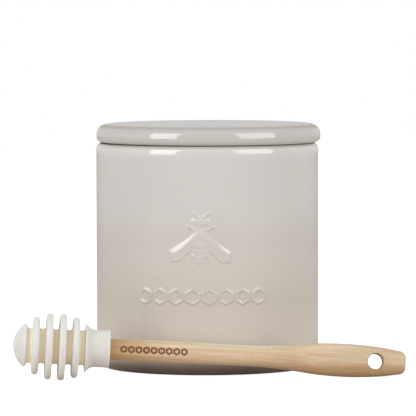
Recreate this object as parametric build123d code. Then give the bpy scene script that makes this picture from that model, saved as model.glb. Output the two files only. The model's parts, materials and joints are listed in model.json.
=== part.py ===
"""Stoneware honey pot with a lift-off lid, and the honey dipper that lies in front of it.

Frame: the origin is the centre of the pot's foot, on the surface it stands on. +Z is up, and the raised bee
faces -Y. The dipper lies along +X in front of the pot, head to the left. Millimetres throughout.
"""
from build123d import *
from math import atan2, cos, degrees, radians, sin
import os

# --- Pot body -------------------------------------------------------------------------------------------
POT_RADIUS = 50.0          # outside of the straight wall
RIM_HEIGHT = 101.0         # flat rim that the lid rests on
WALL = 5.5
FLOOR = 6.5                # height of the inside floor above the foot ring
FOOT_INSET = 4.6           # the wall's lower rounding: how far in ...
FOOT_RISE = 7.4            # ... and how far up
FOOT_RING_WIDTH = 7.0      # unglazed ring that the pot stands on
FOOT_RECESS = 1.5          # depth of the recess inside that ring
SHOULDER_INSET = 2.2       # the wall's upper rounding: how far in ...
SHOULDER_DROP = 4.0        # ... and how far down
SHOULDER_POWER = 2.6       # of the superellipse that it follows; 2 would be an ellipse
MOUTH_EDGE_RADIUS = 1.0
INSIDE_CORNER_RADIUS = 8.0

# --- Raised figures on the front wall ---------------------------------------------------------------------
RELIEF_AZIMUTH = -3.4      # degrees about Z, off the pot's front
RELIEF_ROOT = 0.6          # how deep a figure's block is joined into the wall
BEE_HEIGHT = 62.0          # centre of the bee's thorax above the foot
BEE_RAISE = 0.9
BEE_LEAN = 1.5             # degrees: its head leans to the right
CELL_ROW_HEIGHT = 34.8     # centre of the row of honeycomb cells above the foot
CELL_RAISE = 0.7
CELL_COUNT = 8
CELL_SIDE = 3.95           # side of a cell's outer hexagon
CELL_LINE = 1.35           # width of a cell's outline
CELL_SPACING = 0.6         # between two cells, along the wall

# --- Lid ------------------------------------------------------------------------------------------------
LID_OVERHANG = 0.45        # how far the lid's edge stands out past the wall
LID_THICKNESS = 8.8
LID_EDGE_HEIGHT = 3.0      # of its widest line above the rim
LID_LOWER_INSET = 4.0      # how far the edge's underside rounds in
LID_UPPER_INSET = 9.0      # how far its upper rounding runs in to the flat top
LID_UPPER_POWER = 2.6      # of the superellipse that the upper rounding follows
LID_FLANGE_DEPTH = 5.0     # locating ring that drops into the mouth
LID_FLANGE_WIDTH = 4.0
LID_FLANGE_CLEARANCE = 0.8 # between the ring and the mouth, all round
LID_PANEL = 6.5            # clay over the hollow inside the ring
LID_SHIFT = 0.6            # the loose lid sits this far to the right, inside that clearance

# --- Dipper head ------------------------------------------------------------------------------------------
HEAD_CORE_RADIUS = 7.6
NOSE_RADIUS = 11.8         # ball that the nose is a cap of
NOSE_EDGE_RADIUS = 9.65    # the cap's sharp edge
NOSE_UNDERCUT = 0.9        # how far the cap's back face slopes towards the fins
NOSE_GAP = 4.75            # from the cap's edge to the first fin's middle
FIN_RADII = (12.6, 14.3, 14.4, 13.2)
FIN_PITCH = 5.8
FIN_ROOT_THICKNESS = 3.2
FIN_TIP_THICKNESS = 2.95
FIN_TIP_ROUNDING = 1.3
GROOVE_ROUNDING = 0.9
FLARE_GAP = 4.22           # from the last fin's middle to the collar's flare
FLARE_RADIUS = 10.7
FLARE_LENGTH = 4.6         # how far the flare takes to draw in to the collar
COLLAR_RADIUS = 8.1
COLLAR_LENGTH = 6.1        # the straight part behind the flare
COLLAR_LIP_ROUNDING = 0.5

# --- Dipper handle ----------------------------------------------------------------------------------------
NECK_RADIUS = 4.45         # where it enters the head
TENON_RADIUS = 4.15
TENON_LENGTH = 24.0
TENON_CLEARANCE = 0.05     # round the tenon
TENON_END_GAP = 0.5        # past its end
HANDLE_LENGTH = 129.95     # from the head's collar to the far end
# (distance from the collar, half height, half depth) of the round neck's sections
NECK_SHAPE = ((0.0, NECK_RADIUS, NECK_RADIUS), (24.0, 4.75, 4.75))
# (distance from the far end, half height, half depth) of the paddle's oval sections
PADDLE_SHAPE = (
    (72.5, 4.55, 4.55),
    (61.5, 4.75, 4.7),
    (50.5, 5.6, 4.85),
    (39.5, 6.85, 4.95),
    (28.5, 7.26, 4.9),
    (19.5, 7.05, 4.7),
    (10.5, 6.3, 4.45),
    (0.0, 4.75, 4.1),
)
HANDLE_SECTION_COUNT = 15  # evenly spaced ovals that the handle's skin runs through
# (distance from the far end, half thickness) of the flats scooped into the paddle's front and back
PADDLE_FLATS = ((57.5, 5.6), (49.5, 4.9), (41.5, 4.15), (32.5, 3.8), (17.5, 3.6), (0.0, 3.3))
PADDLE_END_ROUNDING = 2.3
PADDLE_END_MARGIN = 0.1    # the rounding of its corners starts this far outside the oval skin
HANGING_HOLE_RADIUS = 3.4
HANGING_HOLE_INSET = 13.5  # from the handle's end

# --- How the dipper lies ------------------------------------------------------------------------------------
DIPPER_YAW = 3.5           # degrees: the paddle lies nearer the pot than the head
DIPPER_LEAN = 8.0          # degrees: the paddle's upper edge leans back
DIPPER_STANDOFF = 5.5      # between the handle and the pot's wall
HEAD_OFFSET = 63.5         # the widest fin is this far left of the pot's centre


# --- Positions that follow from the sizes ---------------------------------------------------------------
MOUTH_RADIUS = POT_RADIUS - WALL
FOOT_RADIUS = POT_RADIUS - FOOT_INSET
RIM_OUTER = POT_RADIUS - SHOULDER_INSET
LID_RADIUS = POT_RADIUS + LID_OVERHANG
FLANGE_OUTER = MOUTH_RADIUS - LID_FLANGE_CLEARANCE
FLANGE_INNER = FLANGE_OUTER - LID_FLANGE_WIDTH
# along the dipper's own axis, with the collar's open end at 0 and the head towards -X
FLARE_AT = -(COLLAR_LENGTH + FLARE_LENGTH)
LAST_FIN_AT = FLARE_AT - FLARE_GAP
FIN_PLACES = [LAST_FIN_AT - FIN_PITCH * (len(FIN_RADII) - 1 - i) for i in range(len(FIN_RADII))]
NOSE_EDGE_AT = FIN_PLACES[0] - NOSE_GAP
WIDEST_FIN = max(range(len(FIN_RADII)), key=lambda i: FIN_RADII[i])
HANDLE_SHAPE = NECK_SHAPE + tuple((HANDLE_LENGTH - d, height, depth) for d, height, depth in PADDLE_SHAPE)


def turned(outline):
    """Solid turned about Z from a closed outline, drawn with the radius across and the height up."""
    return revolve(Plane.XZ * make_face(outline), Axis.Z)


def quarter(centre, across, along, start):
    """Quarter of an ellipse from the angle start, anticlockwise; across and along are its half axes."""
    return EllipticalCenterArc(centre, across, along, start, arc_size=90)


def full_quarter(centre, across, along, power):
    """Upper right quarter of a superellipse, fuller than an ellipse where the power is over 2."""
    angles = [radians(9 * i) for i in range(11)]
    points = [(centre[0] + across * cos(t) ** (2 / power), centre[1] + along * sin(t) ** (2 / power))
              for t in angles[:-1]]
    return Spline(points + [(centre[0], centre[1] + along)], tangents=[(0, 1), (-1, 0)])


# --- Pot body ---------------------------------------------------------------------------------------------
def pot_shell():
    """The thrown pot: recessed foot, rounded heel, straight wall, rounded shoulder and mouth, hollow inside."""
    recess_radius = FOOT_RADIUS - FOOT_RING_WIDTH
    outline = Curve() + [
        Line((0, FOOT_RECESS), (recess_radius - FOOT_RECESS, FOOT_RECESS)),
        Line((recess_radius - FOOT_RECESS, FOOT_RECESS), (recess_radius, 0)),
        Line((recess_radius, 0), (FOOT_RADIUS, 0)),
        quarter((FOOT_RADIUS, FOOT_RISE), FOOT_INSET, FOOT_RISE, 270),
        Line((POT_RADIUS, FOOT_RISE), (POT_RADIUS, RIM_HEIGHT - SHOULDER_DROP)),
        full_quarter((RIM_OUTER, RIM_HEIGHT - SHOULDER_DROP), SHOULDER_INSET, SHOULDER_DROP, SHOULDER_POWER),
        Line((RIM_OUTER, RIM_HEIGHT), (MOUTH_RADIUS + MOUTH_EDGE_RADIUS, RIM_HEIGHT)),
        quarter((MOUTH_RADIUS + MOUTH_EDGE_RADIUS, RIM_HEIGHT - MOUTH_EDGE_RADIUS),
                MOUTH_EDGE_RADIUS, MOUTH_EDGE_RADIUS, 90),
        Line((MOUTH_RADIUS, RIM_HEIGHT - MOUTH_EDGE_RADIUS), (MOUTH_RADIUS, FLOOR + INSIDE_CORNER_RADIUS)),
        CenterArc((MOUTH_RADIUS - INSIDE_CORNER_RADIUS, FLOOR + INSIDE_CORNER_RADIUS),
                  INSIDE_CORNER_RADIUS, 0, -90),
        Line((MOUTH_RADIUS - INSIDE_CORNER_RADIUS, FLOOR), (0, FLOOR)),
        Line((0, FLOOR), (0, FOOT_RECESS)),
    ]
    return turned(outline)


def raised(figure, height, azimuth):
    """A flat figure, drawn as seen from the front, raised by height on the wall and turned to azimuth."""
    straight = RIM_HEIGHT - SHOULDER_DROP - FOOT_RISE
    low_end = (Align.CENTER, Align.CENTER, Align.MIN)
    skin = Cylinder(POT_RADIUS + height, straight, align=low_end)
    skin -= Cylinder(POT_RADIUS - RELIEF_ROOT, straight, align=low_end)
    block = extrude(Plane.XZ * figure, POT_RADIUS + 2 * height)
    return Rot(0, 0, azimuth) * (block & (Pos(0, 0, FOOT_RISE) * skin))


def bee_figure():
    """Bee seen from above, head up, wings swept back. Drawn about the middle of its thorax."""
    thorax = Circle(3.7)
    head = Pos(0, 5.7) * Ellipse(4.1, 2.1)
    abdomen = Pos(0, -7.5) * Ellipse(4.8, 6.2)
    figure = thorax + head + abdomen
    wing_corners = [(2.0, 1.5), (2.0, -5.7), (9.8, -12.1), (13.3, -12.1), (13.3, -7.3)]
    for side in (-1, 1):
        wing = Polygon(*[(side * x, y) for x, y in wing_corners][::side], align=None)
        figure += fillet(wing.vertices().filter_by(lambda corner: abs(corner.X) > 5), 1.5)
        figure += Pos(side * 4.3, 3.0) * Rot(0, 0, side * 28) * SlotOverall(4.6, 1.2)
        figure += Pos(side * 2.2, 8.8) * Rot(0, 0, side * 38) * SlotOverall(4.2, 1.0)
    return Rot(0, 0, -BEE_LEAN) * figure


def cell_figure():
    """Outline of one honeycomb cell, standing on a corner."""
    inner_side = CELL_SIDE - CELL_LINE / cos(radians(30))
    ring = RegularPolygon(CELL_SIDE, 6, rotation=30) - RegularPolygon(inner_side, 6, rotation=30)
    return Pos(0, CELL_ROW_HEIGHT) * ring


def pot_body():
    """The pot with the bee and the row of cells raised on its front."""
    body = pot_shell()
    body += raised(Pos(0, BEE_HEIGHT) * bee_figure(), BEE_RAISE, RELIEF_AZIMUTH)
    cell_width = 2 * CELL_SIDE * cos(radians(30))
    step = degrees((cell_width + CELL_SPACING) / POT_RADIUS)
    for i in range(CELL_COUNT):
        azimuth = RELIEF_AZIMUTH + (i - (CELL_COUNT - 1) / 2) * step
        body += raised(cell_figure(), CELL_RAISE, azimuth)
    return body


# --- Lid ----------------------------------------------------------------------------------------------------
def lid():
    """Disc lid with a rolled edge, resting on the rim, with a ring underneath that drops into the mouth."""
    edge_height = RIM_HEIGHT + LID_EDGE_HEIGHT
    top = RIM_HEIGHT + LID_THICKNESS
    flange_end = RIM_HEIGHT - LID_FLANGE_DEPTH
    hollow_top = top - LID_PANEL
    seat_radius = LID_RADIUS - LID_LOWER_INSET
    outline = Curve() + [
        Line((0, top), (LID_RADIUS - LID_UPPER_INSET, top)),
        full_quarter((LID_RADIUS - LID_UPPER_INSET, edge_height), LID_UPPER_INSET, top - edge_height,
                     LID_UPPER_POWER),
        quarter((seat_radius, edge_height), LID_LOWER_INSET, LID_EDGE_HEIGHT, 270),
        Line((seat_radius, RIM_HEIGHT), (FLANGE_OUTER, RIM_HEIGHT)),
        Line((FLANGE_OUTER, RIM_HEIGHT), (FLANGE_OUTER, flange_end)),
        Line((FLANGE_OUTER, flange_end), (FLANGE_INNER, flange_end)),
        Line((FLANGE_INNER, flange_end), (FLANGE_INNER, hollow_top)),
        Line((FLANGE_INNER, hollow_top), (0, hollow_top)),
        Line((0, hollow_top), (0, top)),
    ]
    return Pos(LID_SHIFT, 0, 0) * turned(outline)


# --- Dipper -------------------------------------------------------------------------------------------------
def fin(place, radius):
    """Half outline of one fin: a slightly tapered blade with a rounded tip, standing on the dipper's axis."""
    root = FIN_ROOT_THICKNESS / 2
    tip = FIN_TIP_THICKNESS / 2
    blade = Pos(place, 0) * Polygon((-root, 0), (root, 0), (tip, radius), (-tip, radius), align=None)
    return fillet(blade.vertices().group_by(Axis.Y)[-1], FIN_TIP_ROUNDING)


def dipper_head():
    """Moulded head: ball nose, fins on a core, flared collar, and the blind socket for the tenon."""
    nose_cap = NOSE_RADIUS - (NOSE_RADIUS**2 - NOSE_EDGE_RADIUS**2) ** 0.5
    nose_tip = NOSE_EDGE_AT - nose_cap
    cap_middle = NOSE_RADIUS - (NOSE_RADIUS**2 - (NOSE_EDGE_RADIUS / 2) ** 2) ** 0.5
    flare_end = -COLLAR_LENGTH
    flare_middle = ((FLARE_AT + flare_end) / 2 - 0.15, COLLAR_RADIUS + 0.28 * (FLARE_RADIUS - COLLAR_RADIUS))
    outline = Curve() + [
        ThreePointArc((nose_tip, 0), (nose_tip + cap_middle, NOSE_EDGE_RADIUS / 2),
                      (NOSE_EDGE_AT, NOSE_EDGE_RADIUS)),
        Line((NOSE_EDGE_AT, NOSE_EDGE_RADIUS), (NOSE_EDGE_AT + NOSE_UNDERCUT, HEAD_CORE_RADIUS)),
        Line((NOSE_EDGE_AT + NOSE_UNDERCUT, HEAD_CORE_RADIUS), (FLARE_AT, HEAD_CORE_RADIUS)),
        Line((FLARE_AT, HEAD_CORE_RADIUS), (FLARE_AT, FLARE_RADIUS)),
        ThreePointArc((FLARE_AT, FLARE_RADIUS), flare_middle, (flare_end, COLLAR_RADIUS)),
        Line((flare_end, COLLAR_RADIUS), (-COLLAR_LIP_ROUNDING, COLLAR_RADIUS)),
        quarter((-COLLAR_LIP_ROUNDING, COLLAR_RADIUS - COLLAR_LIP_ROUNDING),
                COLLAR_LIP_ROUNDING, COLLAR_LIP_ROUNDING, 0),
        Line((0, COLLAR_RADIUS - COLLAR_LIP_ROUNDING), (0, 0)),
        Line((0, 0), (nose_tip, 0)),
    ]
    half = make_face(outline)
    for place, radius in zip(FIN_PLACES, FIN_RADII):
        half += fin(place, radius)
    roots = [v for v in half.vertices() if abs(v.Y - HEAD_CORE_RADIUS) < 1e-4]
    half = fillet(roots, GROOVE_ROUNDING)
    head = revolve(half, Axis.X)
    socket = Cylinder(TENON_RADIUS + TENON_CLEARANCE, TENON_LENGTH + TENON_END_GAP,
                      align=(Align.CENTER, Align.CENTER, Align.MAX))
    return head - Rot(0, 90, 0) * socket


def shape_at(distance, column):
    """Value of one column of HANDLE_SHAPE at a distance: a smooth cubic through the listed stations."""
    stations = [(row[0], row[column]) for row in HANDLE_SHAPE]
    steps = list(zip(stations, stations[1:]))
    slopes = [(b[1] - a[1]) / (b[0] - a[0]) for a, b in steps]
    tangents = [slopes[0]] + [(a + b) / 2 for a, b in zip(slopes, slopes[1:])] + [slopes[-1]]
    i = next((k for k, (_, end) in enumerate(steps) if distance <= end[0]), len(steps) - 1)
    (start, low), (end, high) = steps[i]
    span = end - start
    t = (distance - start) / span
    return ((2 * t**3 - 3 * t**2 + 1) * low + (t**3 - 2 * t**2 + t) * span * tangents[i]
            + (3 * t**2 - 2 * t**3) * high + (t**3 - t**2) * span * tangents[i + 1])


def section_places():
    """Evenly spaced distances from the collar to the handle's end."""
    return [HANDLE_LENGTH * i / (HANDLE_SECTION_COUNT - 1) for i in range(HANDLE_SECTION_COUNT)]


def dipper_handle():
    """Turned handle: tenon, round neck, paddle with scooped flats and a hanging hole."""
    ovals = [Plane(origin=(s, 0, 0), x_dir=(0, 0, 1), z_dir=(1, 0, 0)) * Ellipse(shape_at(s, 1), shape_at(s, 2))
             for s in section_places()]
    stick = loft(ovals)
    widest = max(height for _, height, _ in HANDLE_SHAPE) + PADDLE_END_ROUNDING
    flats = [(HANDLE_LENGTH - distance, thickness) for distance, thickness in PADDLE_FLATS]
    flats_start, deepest = flats[0]
    front = Spline(flats)
    back = mirror(front, Plane.XZ)
    end_thickness = PADDLE_FLATS[-1][1]
    plan = make_face(Curve() + [
        front,
        Line((HANDLE_LENGTH, end_thickness), (HANDLE_LENGTH, -end_thickness)),
        back,
        Polyline((flats_start, -deepest), (-1, -deepest), (-1, deepest), (flats_start, deepest)),
    ])
    plan = fillet(plan.vertices().group_by(Axis.X)[-1], PADDLE_END_ROUNDING)
    stick &= extrude(plan, widest, both=True)
    end_height = shape_at(HANDLE_LENGTH - PADDLE_END_ROUNDING, 1) + PADDLE_END_MARGIN
    side = Pos(HANDLE_LENGTH, 0) * Rectangle(2 * HANDLE_LENGTH + 2, 2 * end_height, align=(Align.MAX, Align.CENTER))
    side = fillet(side.vertices().group_by(Axis.X)[-1], PADDLE_END_ROUNDING)
    clear = Pos(HANDLE_LENGTH - PADDLE_END_ROUNDING, 0) * Rectangle(
        2 * HANDLE_LENGTH, 4 * widest, align=(Align.MAX, Align.CENTER))
    stick &= extrude(Plane.XZ * (side + clear), 2 * deepest, both=True)
    tenon = Rot(0, 90, 0) * Cylinder(TENON_RADIUS, TENON_LENGTH, align=(Align.CENTER, Align.CENTER, Align.MAX))
    hole_at = HANDLE_LENGTH - HANGING_HOLE_INSET
    hole = Pos(hole_at, 0, 0) * Rot(90, 0, 0) * Cylinder(HANGING_HOLE_RADIUS, 4 * deepest)
    return stick + tenon - hole


def lay_down(head, handle):
    """Where the dipper lies: on its widest fin and on the paddle's lower edge, leaning back a little."""
    fin_at = FIN_PLACES[WIDEST_FIN]
    slope = min(degrees(atan2(FIN_RADII[WIDEST_FIN] - shape_at(s, 1), s - fin_at)) for s in section_places())
    turn = Rot(0, 0, DIPPER_YAW) * Rot(0, slope, 0) * Rot(-DIPPER_LEAN, 0, 0)
    axis = (turn * Vertex(1, 0, 0)).center()
    axis_distance = POT_RADIUS + DIPPER_STANDOFF + NECK_RADIUS
    fin_y = -axis_distance / cos(radians(DIPPER_YAW)) - HEAD_OFFSET * axis.Y / axis.X
    place = Pos(-HEAD_OFFSET - fin_at * axis.X, fin_y - fin_at * axis.Y, 0) * turn
    lowest = min((place * piece).bounding_box().min.Z for piece in (head, handle))
    return Pos(0, 0, -lowest) * place


HEAD = dipper_head()
HANDLE = dipper_handle()
LYING = lay_down(HEAD, HANDLE)

NODES = {
    "pot_body": pot_body(),
    "lid": lid(),
    "dipper_head": LYING * HEAD,
    "dipper_handle": LYING * HANDLE,
}

os.makedirs("parts", exist_ok=True)
for name, shape in NODES.items():
    export_step(shape, f"parts/{name}.step")
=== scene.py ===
"""Looks of a stoneware honey pot with a lift-off lid, and of the honey dipper that lies in front of it.

Every piece is a surface worked out with numpy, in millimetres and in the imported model's own frame, and
stands for the CAD node of the same shape. Finishes are procedural and read Object coordinates.
"""

import json
import logging
from dataclasses import dataclass, replace
from enum import Enum
from math import cos, degrees, pi, prod, radians, sin
from typing import Any, Callable

import bpy
import numpy as np
from mathutils import Matrix, Vector


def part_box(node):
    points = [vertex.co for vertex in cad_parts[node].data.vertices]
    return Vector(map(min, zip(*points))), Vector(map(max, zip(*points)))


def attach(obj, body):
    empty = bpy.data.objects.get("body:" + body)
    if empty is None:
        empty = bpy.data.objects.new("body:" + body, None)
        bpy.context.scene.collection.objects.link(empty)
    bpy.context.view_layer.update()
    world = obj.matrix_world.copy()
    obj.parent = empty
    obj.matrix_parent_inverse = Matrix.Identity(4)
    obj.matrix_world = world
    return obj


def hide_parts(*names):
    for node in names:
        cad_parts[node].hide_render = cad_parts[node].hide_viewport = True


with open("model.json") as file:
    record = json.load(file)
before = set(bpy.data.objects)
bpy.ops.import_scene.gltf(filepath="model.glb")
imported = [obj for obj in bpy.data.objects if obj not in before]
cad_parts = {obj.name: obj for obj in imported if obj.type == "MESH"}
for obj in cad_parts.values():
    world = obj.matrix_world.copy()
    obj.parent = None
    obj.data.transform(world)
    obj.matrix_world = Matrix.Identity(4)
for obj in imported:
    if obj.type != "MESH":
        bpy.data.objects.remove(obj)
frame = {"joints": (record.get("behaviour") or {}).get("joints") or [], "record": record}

Array = np.ndarray
Colour = tuple[float, float, float]
Point = tuple[float, float]

MM = 0.001                      # metres in a millimetre
TO_MM = 1000.0
SAME_POINT = 1e-4               # millimetres within which two points of a profile are one
ROUND_TO = 12                   # decimals of a sine or a cosine that may be zero
HEXAGON = cos(radians(30.0))    # half width of a hexagon, as a share of its side
WHITE = (1.0, 1.0, 1.0)
BLACK = (0.0, 0.0, 0.0)
LOG = logging.getLogger("honey_pot")


class Body(str, Enum):
    """CAD bodies that the pieces ride on."""

    POT = "pot"
    LID = "lid"
    HANDLE = "handle"
    HEAD = "head"


class Slot(str, Enum):
    """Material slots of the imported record."""

    STONEWARE = "glazed_stoneware"
    BEECH = "beech"
    SILICONE = "silicone"


class Blend(str, Enum):
    """Ways in which two colours mix."""

    MIX = "MIX"
    SHADE = "MULTIPLY"


# --- Places and profiles --------------------------------------------------------------------------
@dataclass(frozen=True)
class Place:
    """Where a piece's own axes lie in the row frame, in millimetres: along its length, across it, and up."""

    origin: Array
    along: Array
    across: Array
    up: Array

    def points(self, along: Array, across: Array, up: Array) -> Array:
        """Row-frame points: origin + along * a + across * b + up * c, on arrays of one shape."""
        parts = ((along, self.along), (across, self.across), (up, self.up))
        return self.origin + sum(np.asarray(share)[..., None] * axis for share, axis in parts)

    def turn(self) -> Matrix:
        """Rotation from the row frame to the piece's own axes."""
        return Matrix((self.along.tolist(), self.across.tolist(), self.up.tolist()))


STANDING = Place(np.zeros(3), *np.eye(3)[[2, 0, 1]])      # up the pot's axis


def straight(start: Point, end: Point, steps: int = 1) -> Array:
    """Straight run of a profile: start + t (end - start), with t from 0 to 1.

    Args:
        start: First point, as (along the axis, radius).
        end: Last point.
        steps: How many equal steps the run has.

    Returns:
        The run's points, one a row.
    """
    t = np.linspace(0.0, 1.0, steps + 1)[:, None]
    return np.asarray(start) + t * (np.asarray(end) - np.asarray(start))


def arc(centre: Point, half_axes: Point, angles: Point, steps: int, power: float = 2.0) -> Array:
    """Arc of a superellipse: centre + (a cos(t)^(2/p), b sin(t)^(2/p)), each root keeping its sign.

    Args:
        centre: Middle of the superellipse, as (along the axis, radius).
        half_axes: Its half axes a, along, and b, outwards.
        angles: First and last value of t, in degrees.
        steps: How many steps the arc has.
        power: p, which is 2 for an ellipse and more for a fuller corner.

    Returns:
        The arc's points, one a row.
    """
    t = np.radians(np.linspace(*angles, steps + 1))
    unit = np.round(np.stack([np.cos(t), np.sin(t)], axis=1), ROUND_TO)
    return np.asarray(centre) + np.sign(unit) * np.abs(unit) ** (2.0 / power) * np.asarray(half_axes)


def joined(*runs: Array) -> Array:
    """Runs end to end as one profile.

    Args:
        runs: The runs' points, one a row.

    Returns:
        All points, without any that repeats the one before it.
    """
    points = np.concatenate(runs)
    moved = np.linalg.norm(np.diff(points, axis=0), axis=1) > SAME_POINT
    return points[np.concatenate([[True], moved])]


def smooth(value: Array, low: float, high: float) -> Array:
    """Smooth step from 0 at low to 1 at high: t^2 (3 - 2t), t being the share of the way, from 0 to 1."""
    t = np.clip((value - low) / (high - low), 0.0, 1.0)
    return t * t * (3.0 - 2.0 * t)


# --- Surfaces -------------------------------------------------------------------------------------
@dataclass
class Skin:
    """Closed surface: its points in millimetres, and its faces as rows of point numbers."""

    points: Array
    quads: Array
    triangles: Array

    def volume(self) -> float:
        """Volume inside: the sum of a . (b x c) / 6 over its triangles (a, b, c).

        Returns:
            Cubic centimetres, below zero where the faces point inwards.
        """
        halves = [self.quads[:, [0, 1, 2]], self.quads[:, [0, 2, 3]], self.triangles]
        a, b, c = (self.points[np.concatenate(halves)[:, k]] for k in range(3))
        return float(np.einsum("ij,ij->", a, np.cross(b, c))) / 6.0 / TO_MM

    def outward(self) -> "Skin":
        """The same surface, with its faces turned round if they point inwards."""
        turn = -1 if self.volume() < 0.0 else 1
        return Skin(self.points, self.quads[:, ::turn], self.triangles[:, ::turn])

    def mesh(self, name: str, crease: float) -> bpy.types.Mesh:
        """Blender mesh of the surface, in metres.

        Args:
            name: The mesh's name.
            crease: Angle in degrees past which an edge shades sharp.

        Returns:
            The new mesh.
        """
        mesh = bpy.data.meshes.new(name)
        corners = np.concatenate([self.quads.ravel(), self.triangles.ravel()]).astype(np.int32)
        sides = np.repeat([4, 3], [len(self.quads), len(self.triangles)])
        mesh.vertices.add(len(self.points))
        mesh.vertices.foreach_set("co", (self.points * MM).astype(np.float32).ravel())
        mesh.loops.add(len(corners))
        mesh.loops.foreach_set("vertex_index", corners)
        mesh.polygons.add(len(self.quads) + len(self.triangles))
        mesh.polygons.foreach_set("loop_start", (np.cumsum(sides) - sides).astype(np.int32))
        mesh.update(calc_edges=True)
        mesh.validate()
        mesh.shade_smooth()
        mesh.set_sharp_from_angle(angle=radians(crease))
        return mesh


def ring_quads(numbers: Array) -> Array:
    """Faces between neighbouring rows of point numbers, where each row is a closed ring."""
    after = np.roll(numbers, -1, axis=1)
    return np.stack([numbers[:-1], after[:-1], after[1:], numbers[1:]], axis=-1)


def fan(pole: int, ring: Array, first: bool) -> Array:
    """Triangles that close a ring with one point.

    Args:
        pole: Number of that point.
        ring: Numbers of the ring's points.
        first: Whether this is the surface's first end, not its last.

    Returns:
        The triangles, one a row.
    """
    after = np.roll(ring, -1)
    sides = (after, ring) if first else (ring, after)
    return np.stack([np.full_like(ring, pole), *sides], axis=-1)


def closed_rings(rings: Array, poles: Array) -> Skin:
    """Surface through a stack of rings, closed by one point at each end.

    Args:
        rings: Points, shaped (rings, around, 3).
        poles: The first and the last point, shaped (2, 3).

    Returns:
        The closed surface.
    """
    rows, around = rings.shape[:2]
    numbers = np.arange(rows * around).reshape(rows, around)
    points = np.concatenate([rings.reshape(-1, 3), poles])
    last = rows * around
    triangles = np.concatenate([fan(last, numbers[0], True), fan(last + 1, numbers[-1], False)])
    return Skin(points, ring_quads(numbers).reshape(-1, 4), triangles)


def turned(profile: Array, azimuths: Array, place: Place,
           raised: Callable[[Array, Array], Array] | None = None) -> Skin:
    """Surface of a profile turned about a place's length: (along, r sin a, -r cos a), a being the azimuth.

    Args:
        profile: Points (along, radius), whose first and last lie on the axis.
        azimuths: Values of a in radians, in order round the axis.
        place: Where the axis lies.
        raised: Height added to the widest radius, from arrays of azimuth and of place along.

    Returns:
        The closed surface, with its faces outwards.
    """
    along, azimuth = np.meshgrid(profile[1:-1, 0], azimuths, indexing="ij")
    radius = np.repeat(profile[1:-1, 1:2], len(azimuths), axis=1)
    if raised is not None:
        radius = radius + raised(azimuth, along) * (radius > profile[:, 1].max() - SAME_POINT)
    rings = place.points(along, radius * np.sin(azimuth), -radius * np.cos(azimuth))
    ends = profile[[0, -1], 0]
    poles = place.points(ends, np.zeros(2), np.zeros(2))
    return closed_rings(rings, poles).outward()


def full_turn(count: int) -> Array:
    """Evenly spaced azimuths, in radians."""
    return np.arange(count) * (2.0 * pi / count)


# --- Shader writing -------------------------------------------------------------------------------
@dataclass(frozen=True)
class Grain:
    """Noise in a finish, and how it brings in a second colour."""

    waves: float                                        # in a millimetre
    detail: float = 2.0
    roughness: float = 0.5
    span: Point = (0.0, 1.0)                            # noise at which that colour starts, and is full
    share: float = 1.0                                  # of that colour where it is full
    squeeze: tuple[float, float, float] = (1.0, 1.0, 1.0)   # of the waves along, across and up


@dataclass(frozen=True)
class Value:
    """A shader socket in arithmetic. Each operation on it adds a Math node to its tree."""

    socket: bpy.types.NodeSocket

    def math(self, operation: str, *others: "Value | float") -> "Value":
        """Adds a Math node with this value in its first socket.

        Args:
            operation: The node's operation.
            others: What goes into its other sockets, in order.

        Returns:
            The node's result.
        """
        tree = self.socket.id_data
        node = tree.nodes.new("ShaderNodeMath")
        node.operation = operation
        for target, other in zip(node.inputs, (self, *others)):
            feed(tree, target, other)
        return Value(node.outputs[0])

    def __add__(self, other: "Value | float") -> "Value":
        """Sum."""
        return self.math("ADD", other)

    __radd__ = __add__

    def __mul__(self, other: "Value | float") -> "Value":
        """Product."""
        return self.math("MULTIPLY", other)

    __rmul__ = __mul__

    def __sub__(self, other: "Value | float") -> "Value":
        """Difference."""
        return self.math("SUBTRACT", other)

    def __rsub__(self, other: float) -> "Value":
        """Difference from a number."""
        return self.math("MULTIPLY", -1.0) + other

    def __mod__(self, other: float) -> "Value":
        """Remainder that is never negative."""
        return self.math("FLOORED_MODULO", other)

    def __abs__(self) -> "Value":
        """Size without sign."""
        return self.math("ABSOLUTE")

    def top(self, other: "Value | float") -> "Value":
        """The larger of two."""
        return self.math("MAXIMUM", other)

    def least(self, other: "Value | float") -> "Value":
        """The smaller of two."""
        return self.math("MINIMUM", other)

    def bell(self, centre: float, width: float) -> "Value":
        """Bell curve: e to the minus ((value - centre) / width) squared."""
        share = (self - centre) * (1.0 / width)
        return (share * share * -1.0).math("EXPONENT")


def feed(tree: bpy.types.NodeTree, target: bpy.types.NodeSocket, source: Any) -> None:
    """Links a value to a socket, or sets the socket to a constant.

    Args:
        tree: The socket's node tree.
        target: The socket.
        source: A value to link, or a constant; a colour of three numbers gets its alpha here.
    """
    if isinstance(source, Value):
        tree.links.new(source.socket, target)
    elif target.type == "RGBA" and len(source) == 3:
        target.default_value = (*source, 1.0)
    else:
        target.default_value = source


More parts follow.
